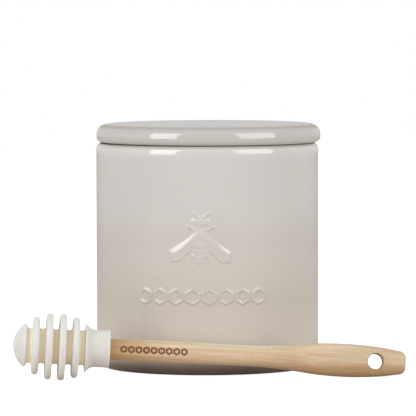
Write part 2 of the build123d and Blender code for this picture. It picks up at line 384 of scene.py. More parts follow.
class Nodes:
    """Node tree that finishes are written in."""

    def __init__(self, tree: bpy.types.NodeTree) -> None:
        """Starts from an empty tree."""
        self.tree = tree
        tree.nodes.clear()

    def add(self, kind: str, settings: dict[str, Any] | None = None, inputs: dict[Any, Any] | None = None,
            output: int | str = 0) -> Value:
        """Adds one node.

        Args:
            kind: The node's type, without the ShaderNode that all of them start with.
            settings: Its properties, set first; stops are a ramp's (place, colour) pairs.
            inputs: Values, links or constants for its sockets, by name or number.
            output: Which of its outputs is wanted.

        Returns:
            That output.
        """
        node = self.tree.nodes.new("ShaderNode" + kind)
        for key, setting in (settings or {}).items():
            if key == "stops":
                set_stops(node.color_ramp, setting)
            else:
                setattr(node, key, setting)
        for key, source in (inputs or {}).items():
            feed(self.tree, node.inputs[key], source)
        return Value(node.outputs[output])

    def step(self, value: Value, start: float, end: float) -> Value:
        """Smooth step of a value.

        Args:
            value: The value.
            start: Where the step is still 0.
            end: Where it reaches 1, above the start or below it.

        Returns:
            The step, from 0 to 1.
        """
        rising = float(end > start)
        sockets = {"Value": value, "From Min": min(start, end), "From Max": max(start, end),
                   "To Min": 1.0 - rising, "To Max": rising}
        return self.add("MapRange", {"interpolation_type": "SMOOTHSTEP"}, sockets)

    def span(self, value: Value, rise: Point, fall: Point) -> Value:
        """One step up and one step down again."""
        return self.step(value, *rise) * self.step(value, *fall)

    def mix(self, share: Value | float, first: Value | Colour, second: Value | Colour,
            blend: Blend = Blend.MIX) -> Value:
        """Mix of two colours by a share."""
        return self.add("Mix", {"data_type": "RGBA", "blend_type": blend.value},
                        {0: share, 6: first, 7: second}, 2)

    def vector(self, x: Value | float, y: Value | float, z: Value | float) -> Value:
        """Vector of three values."""
        return self.add("CombineXYZ", None, {0: x, 1: y, 2: z})

    def noise(self, grain: Grain, spot: Value) -> Value:
        """Noise about 0.5.

        Args:
            grain: Its size and detail.
            spot: The place that it is read at, in millimetres.

        Returns:
            Its value there.
        """
        at = self.add("VectorMath", {"operation": "MULTIPLY"}, {0: spot, 1: grain.squeeze})
        return self.add("TexNoise", None, {"Vector": at, "Scale": grain.waves, "Detail": grain.detail,
                                           "Roughness": grain.roughness})

    def veil(self, grain: Grain, noise: Value) -> Value:
        """Share of the colour that a noise brings in."""
        return self.step(noise, *grain.span) * grain.share

    def bump(self, strength: float, depth: float, height: Value) -> Value:
        """Normal of a relief that is as deep as this, in millimetres, for each unit of its height."""
        return self.add("Bump", None, {"Strength": strength, "Distance": depth * MM, "Height": height})

    def split(self, vector: Value) -> tuple[Value, ...]:
        """The three parts of a vector."""
        parts = self.add("SeparateXYZ", None, {0: vector}).socket.node.outputs
        return tuple(Value(part) for part in parts)

    def close(self, kind: str, shader: Value) -> None:
        """Adds the output node of this kind and links the shader to it."""
        node = self.tree.nodes.new("ShaderNode" + kind)
        self.tree.links.new(shader.socket, node.inputs["Surface"])

    def principled(self, sockets: dict[str, Any]) -> None:
        """Ends a finish in one Principled shader with these sockets."""
        self.close("OutputMaterial", self.add("BsdfPrincipled", None, sockets))

    def own_axes(self, place: Place) -> tuple[Value, ...]:
        """Object coordinates in a place's own axes.

        Args:
            place: The place.

        Returns:
            Distances along, across and up it, in millimetres.
        """
        turn = place.turn()
        moved = -(turn @ Vector(place.origin.tolist()))
        spot = self.add("TexCoord", None, None, "Object")
        local = self.add("Mapping", {"vector_type": "POINT"},
                         {"Vector": spot, "Location": moved, "Rotation": turn.to_euler("XYZ"),
                          "Scale": (TO_MM, TO_MM, TO_MM)})
        return self.split(local)


def set_stops(ramp: bpy.types.ColorRamp, stops: tuple[tuple[float, Colour], ...]) -> None:
    """Gives a colour ramp its stops, with smooth runs between them.

    Args:
        ramp: The ramp.
        stops: Places from 0 to 1, each with its colour.
    """
    ramp.interpolation = "EASE"
    while len(ramp.elements) > 1:
        ramp.elements.remove(ramp.elements[-1])
    ramp.elements[0].position = stops[0][0]
    ramp.elements[0].color = (*stops[0][1], 1.0)
    for position, colour in stops[1:]:
        ramp.elements.new(position).color = (*colour, 1.0)


def new_finish(name: str) -> tuple[bpy.types.Material, Nodes]:
    """Starts a material.

    Args:
        name: Its name.

    Returns:
        The material and its empty tree.
    """
    material = bpy.data.materials.new(name)
    material.use_nodes = True
    return material, Nodes(material.node_tree)


# --- Finishes -------------------------------------------------------------------------------------
@dataclass(frozen=True)
class Glaze:
    """Glossy greige glaze over stoneware, cooler and lighter at the top.

    Its colours by height are partly the glaze's own and partly painted light: the cooler, lighter top stands
    for a neutral reflection of the room, and the levels, with a darker belt low on the wall, are matched to
    the wall's brightness at each height. The brown foot is painted shade, and a lid's lighter, cooler flat
    top is a painted reflection. It thins to brown on edges, is satin on a lid's top, and leaves bare clay
    where pieces rest. Heights and distances are in millimetres.
    """

    name: str
    bare_bands: tuple[Point, ...]               # heights between which the clay is bare
    thin_lines: tuple[Point, ...]               # (height, half width) of the edges that the glaze runs off
    thin_radius: float                          # those edges lie outside this radius
    # the four colours by height are partly the glaze's own and partly painted light, matched to the wall's
    # brightness at each height
    low: Colour = (0.630, 0.572, 0.508)
    belt: Colour = (0.568, 0.523, 0.467)
    middle: Colour = (0.608, 0.577, 0.538)
    high: Colour = (0.645, 0.632, 0.612)
    levels: tuple[float, ...] = (0.15, 0.30, 0.50, 0.70)    # of those four, as shares of the height
    # painted shade: brown at the foot, where it curves under behind the dipper's handle
    foot: Colour = (0.190, 0.142, 0.115)
    crown: Colour = (0.705, 0.695, 0.690)       # of a lid's flat top: painted reflection, lighter and cooler than the glaze
    thin: Colour = (0.420, 0.340, 0.265)
    clay: Colour = (0.160, 0.115, 0.078)
    grit: Colour = (0.1152, 0.0828, 0.0562)     # of the clay's darker grains
    height: float = 110.0                       # of the pot with its lid
    foot_span: Point = (8.5, 2.0)               # heights between which the painted shade at the foot comes in
    crown_span: Point = (1.2, 0.4)              # the crown's painted reflection comes in this far below the height
    satin_span: Point = (3.4, 1.4)              # and its satin this far
    thin_share: float = 0.55
    thin_start: Point = (-1.5, 0.5)             # the thin edges come in this far from their radius
    bare_blur: float = 0.08                     # half width of the bare clay's edge
    bare_stray: float = 0.2                     # how far that edge strays
    level_stray: float = 0.05                   # how far the four levels stray
    gloss: float = 0.03                         # roughness of the glaze
    satin: float = 0.58                         # and how much more it is on a lid's top
    dull: float = 0.77                          # and on bare clay
    ior: float = 1.75
    relief: Point = (0.25, 0.02)                # strength, and depth
    clay_relief: float = 6.0                    # how much deeper the clay's grain is than the glaze's ripple
    cloud: Grain = Grain(0.035)
    mottle: Grain = Grain(0.55, 3.0, 0.6, (0.35, 0.75), 0.05)
    grain: Grain = Grain(3.0, 4.0, 0.7, (0.35, 0.7))
    ripple: Grain = Grain(0.22)

    def body(self, nodes: Nodes, z: Value, radius: Value, spot: Value) -> Value:
        """Colour of the glaze.

        Args:
            nodes: The finish's tree.
            z: Height.
            radius: Distance from the pot's axis.
            spot: The point itself.

        Returns:
            The colour.
        """
        level = z * (1.0 / self.height) + (nodes.noise(self.cloud, spot) - 0.5) * self.level_stray
        # ramp of those colours by height, partly painted light
        stops = tuple(zip(self.levels, (self.low, self.belt, self.middle, self.high)))
        body = nodes.add("ValToRGB", {"stops": stops}, {"Fac": level})
        # painted shade at the foot
        body = nodes.mix(nodes.step(z, *self.foot_span), body, self.foot)
        # painted reflection on a lid's flat top
        body = nodes.mix(nodes.step(z, *(self.height - drop for drop in self.crown_span)), body, self.crown)
        body = nodes.mix(nodes.veil(self.mottle, nodes.noise(self.mottle, spot)), body, self.thin)
        outside = nodes.step(radius, *(self.thin_radius + shift for shift in self.thin_start))
        for height, width in self.thin_lines:
            body = nodes.mix(z.bell(height, width) * outside * self.thin_share, body, self.thin)
        return body

    def material(self) -> bpy.types.Material:
        """Builds the finish.

        Returns:
            The new material.
        """
        material, nodes = new_finish(self.name)
        z, x, y = nodes.own_axes(STANDING)
        spot = nodes.vector(x, y, z)
        grain = nodes.noise(self.grain, spot)
        strayed = (grain - 0.5) * self.bare_stray + z
        blur = self.bare_blur
        bare: Value | float = 0.0
        for low, high in self.bare_bands:
            bare = nodes.span(strayed, (low - blur, low + blur), (high + blur, high - blur)) + bare
        satin = nodes.step(z, *(self.height - drop for drop in self.satin_span))
        height = nodes.noise(self.ripple, spot) * (1.0 - bare) + grain * bare * self.clay_relief
        body = self.body(nodes, z, (x * x + y * y).math("SQRT"), spot)
        clay = nodes.mix(nodes.veil(self.grain, grain), self.clay, self.grit)
        nodes.principled({"Base Color": nodes.mix(bare, body, clay),
                          "Roughness": bare * self.dull + satin * self.satin + self.gloss,
                          "IOR": self.ior, "Normal": nodes.bump(*self.relief, height)})
        return material


@dataclass(frozen=True)
class Tone:
    """Tint over the wood on one stretch of the handle, from nothing at a span's start to full at its end.
    Some tints are the wood's own tone, and some are painted shade and sheen.
    """

    tint: Colour
    along: tuple[Point, ...]            # spans along the handle
    up: tuple[Point, ...] = ()          # spans of height

    def share(self, nodes: Nodes, along: Value, up: Value) -> Value:
        """How much of the tint there is: the product of the steps over its spans."""
        spans = [(along, span) for span in self.along] + [(up, span) for span in self.up]
        return prod(nodes.step(value, *span) for value, span in spans)


@dataclass(frozen=True)
class Beech:
    """Oiled beech: growth rings, lengthwise bands and streaks, dark flecks, and burnt cells in front.
    Some of its tones are painted shade and a painted sheen.

    Distances are in millimetres: along the handle from the collar, across and up from its middle.
    """

    name: str
    place: Place
    hole_at: float                      # place of the hanging hole
    hole_radius: float
    light: Colour = (0.700, 0.550, 0.385)
    dark: Colour = (0.570, 0.395, 0.232)
    fleck: Colour = (0.26, 0.140, 0.060)
    burn: Colour = (0.130, 0.030, 0.004)
    tones: tuple[Tone, ...] = (
        Tone((0.80, 0.68, 0.50), ((30.0, 0.0),)),                                   # painted shade beside the collar, under the head
        Tone((1.02, 1.09, 1.19), ((80.0, 110.0),)),                                 # the paddle
        Tone((1.12, 1.27, 1.38), ((2.0, 24.0), (82.0, 62.0)), ((1.0, 2.4),)),       # painted sheen along the top of the neck
        Tone((0.66, 0.53, 0.38), ((40.0, 115.0),), ((1.0, -4.0),)),                 # painted shade on the paddle's lower half
    )
    bands: Grain = Grain(0.42, 3.0, 0.55, (0.36, 0.66), 1.0, (0.035, 1.0, 0.8))
    streaks: Grain = Grain(2.2, 3.0, 0.6, (0.40, 0.75), 0.45, (0.045, 1.3, 1.3))
    flecks: Grain = Grain(1.1, 1.0, 0.5, (0.64, 0.74), 0.45, (0.55, 3.2, 3.2))
    patches: Grain = Grain(2.0)
    pith: Point = (24.0, -2.5)          # (across, up) of the middle of the growth rings
    ring_width: float = 1.5
    ring_stray: float = 0.8             # how much the bands bend the rings
    late: Colour = (0.80, 0.68, 0.50)   # tint of a ring's late wood
    late_share: float = 0.30
    late_power: float = 3.0             # how narrow the late wood is
    stain: Point = (0.45, 0.2)          # the hole's stain starts and is full this far outside its radius
    stain_share: float = 0.65
    cell_width: float = 3.3
    cell_line: float = 0.56
    cell_first: float = 4.4
    cell_count: int = 9
    cell_blur: float = 0.01
    line_blur: float = 0.35             # a burnt line is full within this share of its half width
    burn_least: float = 0.75            # how burnt a line is at least
    burn_range: float = 0.4             # and how much more the patches may make it
    gloss: Point = (0.46, 0.12)         # least roughness, and how much the streaks add
    relief: Point = (0.5, 0.05)         # strength, and depth
    streak_height: float = 0.6
    fleck_depth: float = 0.8
    burn_depth: float = 2.0

    def cells(self, nodes: Nodes, along: Value, across: Value, up: Value) -> Value:
        """Row of hexagon outlines: a cell's distance is the larger of |x| and |x|/2 + 0.87 |z|.

        Args:
            nodes: The finish's tree.
            along: Distance from the collar.
            across: Distance behind the handle's middle.
            up: Height above the handle's middle.

        Returns:
            1 on the burnt lines and 0 elsewhere.
        """
        side = abs((along - self.cell_first) % self.cell_width - self.cell_width / 2.0)
        reach = side.top(side * 0.5 + abs(up) * HEXAGON)
        off = abs(reach - (self.cell_width / 2.0 - self.cell_line))
        line = nodes.step(off, self.cell_line, self.cell_line * self.line_blur)
        start, blur = self.cell_first, self.cell_blur
        end = start + self.cell_width * self.cell_count
        inside = nodes.span(along, (start - blur, start + blur), (end + blur, end - blur))
        return line * inside * nodes.step(across, 0.1, -0.1)      # on the front only

    def wood(self, nodes: Nodes, axes: tuple[Value, ...], noises: tuple[Value, ...]) -> Value:
        """Colour of the wood: bands, streaks, flecks, tones with their painted shade and sheen, rings about
        the pith, and the hole's stain.

        Args:
            nodes: The finish's tree.
            axes: Distances along, across and up the handle.
            noises: The noises of the bands, the streaks and the flecks.

        Returns:
            The colour.
        """
        along, across, up = axes
        bands, streaks, flecks = noises
        wood = nodes.mix(nodes.veil(self.bands, bands), self.light, self.dark)
        wood = nodes.mix(nodes.veil(self.streaks, streaks), wood, self.dark)
        wood = nodes.mix(nodes.veil(self.flecks, flecks), wood, self.fleck)
        # tones, among them painted shade beside the collar and under the paddle, and a painted sheen on the
        # neck's top
        for tone in self.tones:
            wood = nodes.mix(tone.share(nodes, along, up), wood, tone.tint, Blend.SHADE)
        aside, above = across - self.pith[0], up - self.pith[1]
        ring = (aside * aside + above * above).math("SQRT") * (1.0 / self.ring_width)
        late = ((ring + bands * self.ring_stray) % 1.0).math("POWER", self.late_power)
        wood = nodes.mix(late * self.late_share, wood, self.late, Blend.SHADE)
        beyond = along - self.hole_at
        away = (beyond * beyond + up * up).math("SQRT") - self.hole_radius
        return nodes.mix(nodes.step(away, *self.stain) * self.stain_share, wood, self.fleck)

    def material(self) -> bpy.types.Material:
        """Builds the finish.

        Returns:
            The new material.
        """
        material, nodes = new_finish(self.name)
        axes = nodes.own_axes(self.place)
        spot = nodes.vector(*axes)
        noises = tuple(nodes.noise(grain, spot) for grain in (self.bands, self.streaks, self.flecks))
        _, streaks, flecks = noises
        burnt = self.cells(nodes, *axes)
        patchy = burnt * (nodes.noise(self.patches, spot) * self.burn_range + self.burn_least).least(1.0)
        pits = nodes.step(flecks, *self.flecks.span) * self.fleck_depth + burnt * self.burn_depth
        least, more = self.gloss
        nodes.principled({"Base Color": nodes.mix(patchy, self.wood(nodes, axes, noises), self.burn),
                          "Roughness": streaks * more + least,
                          "Normal": nodes.bump(*self.relief, streaks * self.streak_height - pits)})
        return material


@dataclass(frozen=True)
class Silicone:
    """Matt off-white silicone, whose deep grooves carry a painted warm light and glow a little.

    The warm colour and the glow in the grooves are painted light: they stand for the light that soaks
    through the thin fins. Distances are in millimetres.
    """

    name: str
    place: Place
    groove_radius: float
    grooves: Point                      # first and last place, along the dipper, of the grooves with the painted warm light
    nose_at: float                      # place of the nose's edge, before the first groove
    white: Colour = (0.72, 0.71, 0.68)
    # warm colour of the dust, and of the painted light in the deep grooves
    tint: Colour = (0.97, 0.90, 0.75)
    glow: Colour = (0.060, 0.060, 0.035)
    tinted_glow: Colour = (0.125, 0.080, 0.048)
    depth: Point = (2.2, 0.1)           # a groove's painted warm light starts and is full this far outside its radius
    tint_blur: float = 1.0              # half width of the painted light's start along the dipper
    end_blur: float = 0.3               # and of its end
    glow_rise: float = 0.8              # width of the glow's start behind the nose's edge
    gloss: Point = (0.42, 0.1)          # least roughness, and how much the pores add
    relief: Point = (0.3, 0.02)         # strength, and depth
    ior: float = 1.42
    soak: float = 2.0                   # how far light goes in
    soak_tint: Colour = (0.85, 0.95, 1.0)
    dust: Grain = Grain(0.5, 3.0, 0.6, (0.4, 0.8), 0.06)
    pores: Grain = Grain(5.0)

    def material(self) -> bpy.types.Material:
        """Builds the finish.

        Returns:
            The new material.
        """
        material, nodes = new_finish(self.name)
        along, across, up = nodes.own_axes(self.place)
        spot = nodes.vector(along, across, up)
        deep = nodes.step((across * across + up * up).math("SQRT") - self.groove_radius, *self.depth)
        first, last = self.grooves
        fall = (last + self.end_blur, last - self.end_blur)
        tinted = nodes.span(along, (first - self.tint_blur, first + self.tint_blur), fall)
        lit = nodes.span(along, (self.nose_at, self.nose_at + self.glow_rise), fall)
        dust, pores = nodes.noise(self.dust, spot), nodes.noise(self.pores, spot)
        colour = nodes.mix(nodes.veil(self.dust, dust), self.white, self.tint)
        # painted light: the warm colour in the deep grooves
        colour = nodes.mix(deep * tinted, colour, self.tint)
        soaked = nodes.mix(deep * lit, BLACK, nodes.mix(tinted, self.glow, self.tinted_glow))
        least, more = self.gloss
        nodes.principled({"Base Color": colour, "Roughness": pores * more + least, "IOR": self.ior,
                          "Subsurface Weight": 1.0, "Subsurface Radius": self.soak_tint,
                          "Subsurface Scale": self.soak * MM, "Emission Color": soaked,
                          "Emission Strength": 1.0, "Normal": nodes.bump(*self.relief, pores + dust)})
        return material


# --- Putting a piece in the scene -----------------------------------------------------------------
def dress(name: str, skin: Skin, material: bpy.types.Material, body: Body,
          crease: float = 50.0) -> None:
    """Makes a piece of a surface and puts it in the place of its CAD node.

    Args:
        name: The CAD node's name; the piece's own has _surface after it.
        skin: The piece's closed surface.
        material: Its finish.
        body: The CAD body that it rides on.
        crease: Angle in degrees past which an edge shades sharp.
    """
    piece = bpy.data.objects.new(name + "_surface", skin.mesh(name, crease))
    bpy.context.scene.collection.objects.link(piece)
    piece.data.materials.append(material)
    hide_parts(name)
    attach(piece, body.value)
    triangles = 2 * len(skin.quads) + len(skin.triangles)
    LOG.info("%s: %d triangles, %.1f cm3", piece.name, triangles, skin.volume())


# --- Pot ------------------------------------------------------------------------------------------
@dataclass(frozen=True)
class Lobe:
    """One rounded part of a raised figure: an ellipse that swells from its outline to its full height."""

    centre: Point
    half_axes: Point
    turn: float         # degrees
    height: float
    edge: float         # how far in from the outline it takes to reach that height

    def raised(self, u: Array, v: Array) -> Array:
        """Height of the lobe: a smooth step of the depth inside the outline, as a share of the edge.

        The depth is k (1 - k) / g, with k = |(p/a, q/b)| and g = |(p/a^2, q/b^2)| for the point (p, q) in
        the ellipse's own axes.

        Args:
            u: Distances to the right of the figure's middle, in millimetres.
            v: Distances above it.

        Returns:
            The heights there.
        """
        c, s = cos(radians(self.turn)), sin(radians(self.turn))
        p = (u - self.centre[0]) * c + (v - self.centre[1]) * s
        q = (v - self.centre[1]) * c - (u - self.centre[0]) * s
        a, b = self.half_axes
        k = np.hypot(p / a, q / b)
        g = np.maximum(np.hypot(p / a**2, q / b**2), 1e-6)
        depth = np.where(k < 0.05, min(a, b), k * (1.0 - k) / g)
        return self.height * smooth(depth, 0.0, self.edge)


@dataclass(frozen=True)
class Wing:
    """Right wing in relief: a straight-sided leaf whose sides swell from its outline.

    Some swell gently and some steeply, and every side swells more steeply towards its two ends.
    """

    # anticlockwise corners, each with how far in from the side that starts there the height is full
    sides: tuple[tuple[float, float, float], ...] = (
        (1.5, -5.45, 1.0),
        (9.6, -12.2, 1.3),
        (13.4, -12.2, 1.1),
        (13.4, -7.3, 3.0),
        (1.5, 1.85, 2.5),
    )
    height: float = 0.50
    end_share: float = 0.3      # of that distance which is left at a side's ends

    def raised(self, u: Array, v: Array) -> Array:
        """Height of the wing: the product over its sides of 1 - (1 - d / w)^2.

        Here d is the depth inside a side, kept from 0 to w, and w falls from its full value at the middle of
        the side as 1 - (1 - e) q^2, with q from -1 to 1 along the side and e the share left at the ends.

        Args:
            u: Distances to the right of the figure's middle, in millimetres.
            v: Distances above it.

        Returns:
            The heights there.
        """
        share = np.ones(np.shape(u))
        corners = np.array(self.sides)
        for start, end in zip(corners, np.roll(corners, -1, axis=0)):
            length = np.hypot(*(end - start)[:2])
            run = (end - start)[:2] / length
            depth = run[0] * (v - start[1]) - run[1] * (u - start[0])
            q = np.clip(2.0 * (run[0] * (u - start[0]) + run[1] * (v - start[1])) / length - 1.0, -1.0, 1.0)
            width = start[2] * (1.0 - (1.0 - self.end_share) * q**2)
            share = share * (1.0 - (1.0 - np.clip(depth / width, 0.0, 1.0)) ** 2)
        return self.height * share


@dataclass(frozen=True)
class Bee:
    """Bee in relief, seen from above with its head up, drawn for its right half."""

    height: float = 62.0        # of the thorax's middle, above the foot
    lean: float = 1.5           # degrees that its head leans to the right
    wing: Wing = Wing()
    abdomen: Lobe = Lobe((0.0, -7.5), (4.8, 6.2), 0.0, 0.56, 2.3)
    parts: tuple[Lobe, ...] = (
        Lobe((0.0, 0.0), (3.7, 3.7), 0.0, 0.50, 3.2),       # thorax
        Lobe((0.0, 5.7), (4.1, 2.1), 0.0, 0.50, 1.3),       # head
        Lobe((3.0, 6.4), (1.5, 1.5), 0.0, 0.50, 1.5),       # eye
        Lobe((2.2, 8.8), (2.2, 0.7), 38.0, 0.60, 0.7),      # antenna
        Lobe((4.3, 3.0), (2.3, 0.8), 28.0, 0.65, 0.8),      # leg
    )
    stripe_first: float = 3.5   # of the abdomen's grooves, below the thorax's middle
    stripe_pitch: float = 2.5
    stripe_depth: float = 0.18
    stripe_width: float = 0.50
    stripe_sag: float = 0.045   # how much a groove drops to its sides: this times u squared
    stripe_start: Point = (-1.3, -0.6)      # grooves start this far above the first one

    def raised(self, u: Array, v: Array) -> Array:
        """Height of the bee: the highest of its parts, less the curved grooves across the abdomen.

        Args:
            u: Distances to the right of the thorax's middle, in millimetres, used without their sign.
            v: Distances above it.

        Returns:
            The heights there.
        """
        c, s = cos(radians(self.lean)), sin(radians(self.lean))
        u, v = np.abs(u * c - v * s), u * s + v * c
        abdomen = self.abdomen.raised(u, v)
        others = np.max([part.raised(u, v) for part in (self.wing, *self.parts)], axis=0)
        below = self.stripe_sag * u**2 - v - self.stripe_first
        off = np.abs((below + self.stripe_pitch / 2.0) % self.stripe_pitch - self.stripe_pitch / 2.0)
        groove = self.stripe_depth * np.exp(-(off / self.stripe_width) ** 2)
        groove = groove * (abdomen > others) * smooth(abdomen, 0.0, 0.5) * smooth(below, *self.stripe_start)
        return np.maximum(abdomen, others) - groove


@dataclass(frozen=True)
class Cells:
    """Row of raised honeycomb cells round the wall, each a hexagon outline standing on a corner."""

    height: float = 34.8
    count: int = 8
    side: float = 3.95
    line: float = 1.35
    spacing: float = 0.6
    raise_by: float = 0.5
    roundness: float = 1.2      # of a ridge: 0.5 is a half circle, and more is slimmer

    def raised(self, u: Array, v: Array) -> Array:
        """Height of the row: a rounded ridge of the line's width along each hexagon's outline.

        The hexagon's reach is the larger of |u| and |u|/2 + 0.87 |v|, and its outline is where that equals
        its half width.

        Args:
            u: Distances round the wall to the right of the row's middle, in millimetres.
            v: Distances above it.

        Returns:
            The heights there.
        """
        half_width = self.side * HEXAGON
        step = 2.0 * half_width + self.spacing
        middle = (self.count - 1) / 2.0
        number = np.clip(np.round(u / step + middle), 0, self.count - 1)
        side = np.abs(u - (number - middle) * step)
        reach = np.maximum(side, 0.5 * side + HEXAGON * np.abs(v))
        off = np.abs(reach - (half_width - self.line / 2.0)) / (self.line / 2.0)
        return self.raise_by * np.clip(1.0 - off**2, 0.0, 1.0) ** self.roundness


@dataclass
class Pot:
    """The thrown pot, with the bee and the row of cells raised on its front."""

    radius: float
    rim: float                              # height of the rim
    wall: float = 5.5
    floor: float = 6.5                      # height of the inside floor
    foot_inset: float = 4.6
    foot_rise: float = 7.4
    foot_ring: float = 7.0                  # width of the ring that it stands on
    foot_recess: float = 1.5
    foot_edge: float = 0.35                 # rounding of the ring's inner edge
    shoulder_inset: float = 2.2
    shoulder_drop: float = 3.4
    shoulder_power: float = 2.1
    mouth_edge: float = 1.0
    inside_corner: float = 8.0
    relief_azimuth: float = -3.4            # degrees, to the right where positive
    relief_half_width: float = 34.0         # degrees of the wall that are finely divided
    relief_span: Point = (29.0, 73.5)       # heights between which it is
    fine_step: float = 0.32
    coarse_sides: int = 96                  # steps round the rest of the wall
    bare: float = 0.12                      # how far the clay is bare above the foot and below the rim
    beyond: float = 1.0                     # and how far past the pot's ends that is let run
    thin_line: Point = (0.6, 0.5)           # place below the rim of the thin glaze, and its half width
    thin_width: float = 3.0                 # width of the outer ring that it is kept to
    bee: Bee = Bee()
    cells: Cells = Cells()

    def profile(self) -> Array:
        """Half outline of the pot.

        Returns:
            Points (height, radius), from the recess under the foot, over the rim, to the inside floor.
        """
        foot = self.radius - self.foot_inset
        recess, edge = foot - self.foot_ring, self.foot_edge
        shoulder = self.rim - self.shoulder_drop
        mouth, lip = self.radius - self.wall, self.mouth_edge
        low, high = self.relief_span
        corner = self.inside_corner
        return joined(
            straight((self.foot_recess, 0.0), (self.foot_recess, recess - self.foot_recess), 6),
            arc((0.0, recess - self.foot_recess), (self.foot_recess, self.foot_recess), (0.0, 90.0), 6),
            arc((edge, recess + edge), (edge, edge), (270.0, 180.0), 3),
            straight((0.0, recess + edge), (0.0, foot), 4),
            arc((self.foot_rise, foot), (self.foot_rise, self.foot_inset), (180.0, 90.0), 18),
            straight((self.foot_rise, self.radius), (low, self.radius), 16),
            straight((low, self.radius), (high, self.radius), round((high - low) / self.fine_step)),
            straight((high, self.radius), (shoulder, self.radius), 14),
            arc((shoulder, self.radius - self.shoulder_inset), (self.shoulder_drop, self.shoulder_inset),
                (90.0, 0.0), 24, self.shoulder_power),
            straight((self.rim, self.radius - self.shoulder_inset), (self.rim, mouth + lip), 3),
            arc((self.rim - lip, mouth + lip), (lip, lip), (0.0, -90.0), 6),
            straight((self.rim - lip, mouth), (self.floor + corner, mouth), 16),
            arc((self.floor + corner, mouth - corner), (corner, corner), (90.0, 180.0), 12),
            straight((self.floor, mouth - corner), (self.floor, 0.0), 6),
        )

    def azimuths(self) -> Array:
        """Azimuths round the wall, fine across the relief and coarse elsewhere.

        Returns:
            Radians, in order.
        """
        fine = degrees(self.fine_step / self.radius)
        start = self.relief_azimuth - self.relief_half_width
        end = self.relief_azimuth + self.relief_half_width
        inner = np.linspace(start, end, round((end - start) / fine), endpoint=False)
        outer = np.linspace(end, start + 360.0, self.coarse_sides, endpoint=False)
        return np.radians(np.concatenate([inner, outer]))

    def relief(self, azimuth: Array, height: Array) -> Array:
        """How far the wall stands out: the bee over u = r sin a, and the cells over u = r a.

        Args:
            azimuth: Radians round the wall.
            height: Heights above the foot.

        Returns:
            Millimetres there.
        """
        turn = (azimuth - radians(self.relief_azimuth) + pi) % (2.0 * pi) - pi
        front = np.where(np.abs(turn) < pi / 2.0, self.radius * np.sin(turn), self.radius)
        bee = self.bee.raised(front, height - self.bee.height)
        row = self.cells.raised(self.radius * turn, height - self.cells.height)
        return np.maximum(bee, row)

    def build(self) -> None:
        """Makes the pot and dresses it."""
        below, width = self.thin_line
        foot_band = (-self.beyond, self.bare)
        rim_band = (self.rim - self.bare, self.rim + self.beyond)
        glaze = Glaze("glaze_pot", bare_bands=(foot_band, rim_band), thin_lines=((self.rim - below, width),),
                      thin_radius=self.radius - self.thin_width)
        skin = turned(self.profile(), self.azimuths(), STANDING, self.relief)
        dress("pot_body", skin, glaze.material(), Body.POT)


# --- Lid ------------------------------------------------------------------------------------------
@dataclass
class Lid:
    """Disc lid with a rolled edge and a locating ring underneath."""

    radius: float
    middle: float           # how far its axis lies from the pot's, along X
    seat: float             # height of the rim that it rests on
    top: float
    flange_end: float       # height of the ring's lower end
    edge_height: float = 3.0
    lower_inset: float = 4.0
    lower_power: float = 2.3
    upper_inset: float = 9.0
    upper_power: float = 2.9
    flange_outer: float = 43.7
    flange_width: float = 4.0
    panel: float = 6.5
    rounding: float = 0.8
    sides: int = 288
    bare: Point = (0.15, 0.12)              # how far the clay is bare below the seat, and above it
    thin_line: Point = (1.0, 0.75)          # place below the top of the thin glaze, and its half width
    thin_width: float = 5.0                 # width of the outer ring that it is kept to
    high: Colour = (0.540, 0.526, 0.507)    # of the glaze, darker than on the pot: painted shade on the lid's rim

    def profile(self) -> Array:
        """Half outline of the lid.

        Returns:
            Points (height, radius), from the middle of the top, round the edge, to the hollow's middle.
        """
        widest = self.seat + self.edge_height
        shoulder = self.radius - self.upper_inset
        lower = self.radius - self.lower_inset
        outer, r = self.flange_outer, self.rounding
        inner, end = outer - self.flange_width, self.flange_end + r
        hollow = self.top - self.panel
        return joined(
            straight((self.top, 0.0), (self.top, shoulder), 12),
            arc((widest, shoulder), (self.top - widest, self.upper_inset), (0.0, 90.0), 40,
                self.upper_power),
            arc((widest, lower), (self.edge_height, self.lower_inset), (90.0, 180.0), 20, self.lower_power),
            straight((self.seat, lower), (self.seat, outer + r), 2),
            arc((self.seat - r, outer + r), (r, r), (0.0, -90.0), 4),
            straight((self.seat - r, outer), (end, outer), 3),
            arc((end, outer - r), (r, r), (90.0, 180.0), 4),
            arc((end, inner + r), (r, r), (180.0, 270.0), 4),
            straight((end, inner), (hollow - r, inner), 3),
            arc((hollow - r, inner - r), (r, r), (90.0, 0.0), 4),
            straight((hollow, inner - r), (hollow, 0.0), 8),
        )

    def build(self) -> None:
        """Makes the lid and dresses it."""
        below, width = self.thin_line
        seat_band = (self.seat - self.bare[0], self.seat + self.bare[1])
        glaze = Glaze("glaze_lid", bare_bands=(seat_band,), thin_lines=((self.top - below, width),),
                      thin_radius=self.radius - self.thin_width, high=self.high)
        place = replace(STANDING, origin=np.array([self.middle, 0.0, 0.0]))
        skin = turned(self.profile(), full_turn(self.sides), place)
        dress("lid", skin, glaze.material(), Body.LID)


